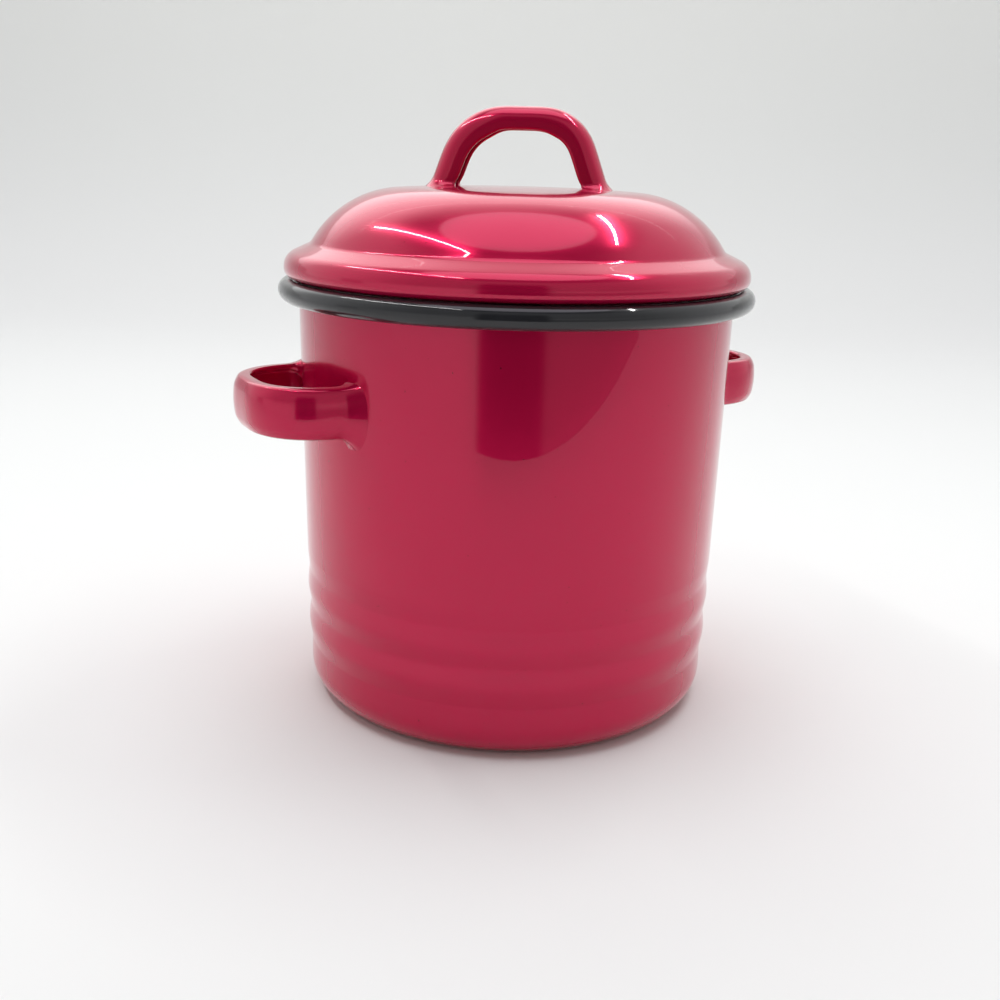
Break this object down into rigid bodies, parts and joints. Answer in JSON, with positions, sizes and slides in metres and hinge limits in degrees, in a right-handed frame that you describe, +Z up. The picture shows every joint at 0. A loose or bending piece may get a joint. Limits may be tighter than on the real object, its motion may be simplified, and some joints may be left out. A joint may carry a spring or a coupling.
{
  "type": "bacon grease container",
  "caption": "Red enamelware grease keeper with side handles, a black rolled rim, a drop-in strainer and a lift-off lid.",
  "frame": {"origin": "centre of the base, on the surface that the pot stands on", "axes": "+Z up along the pot's axis, X through the two side handles, -Y the front of the pot"},
  "size_m": [0.1766, 0.1452, 0.1817],
  "materials": {
    "red_enamel": "glossy porcelain enamel on sheet steel",
    "black_enamel": "glossy black enamel on sheet steel",
    "strainer_steel": "pressed, lightly brushed"
  },
  "bodies": {
    "pot": {"pot_body": "red_enamel", "rim_band": "black_enamel", "side_handle_left": "red_enamel", "side_handle_right": "red_enamel"},
    "strainer": {"strainer_frame": "strainer_steel", "strainer_net": "strainer_steel", "strainer_ring": "strainer_steel"},
    "lid": {"lid_shell": "red_enamel", "lid_skirt": "red_enamel", "lid_handle": "red_enamel"}
  },
  "joints": [
    {"name": "strainer_lift", "type": "slide", "parent": "pot", "child": "strainer", "axis": [0, 0, 1], "range_m": [0, 0.06]},
    {"name": "lid_lift", "type": "slide", "parent": "strainer", "child": "lid", "axis": [0, 0, 1], "range_m": [0, 0.08]}
  ]
}
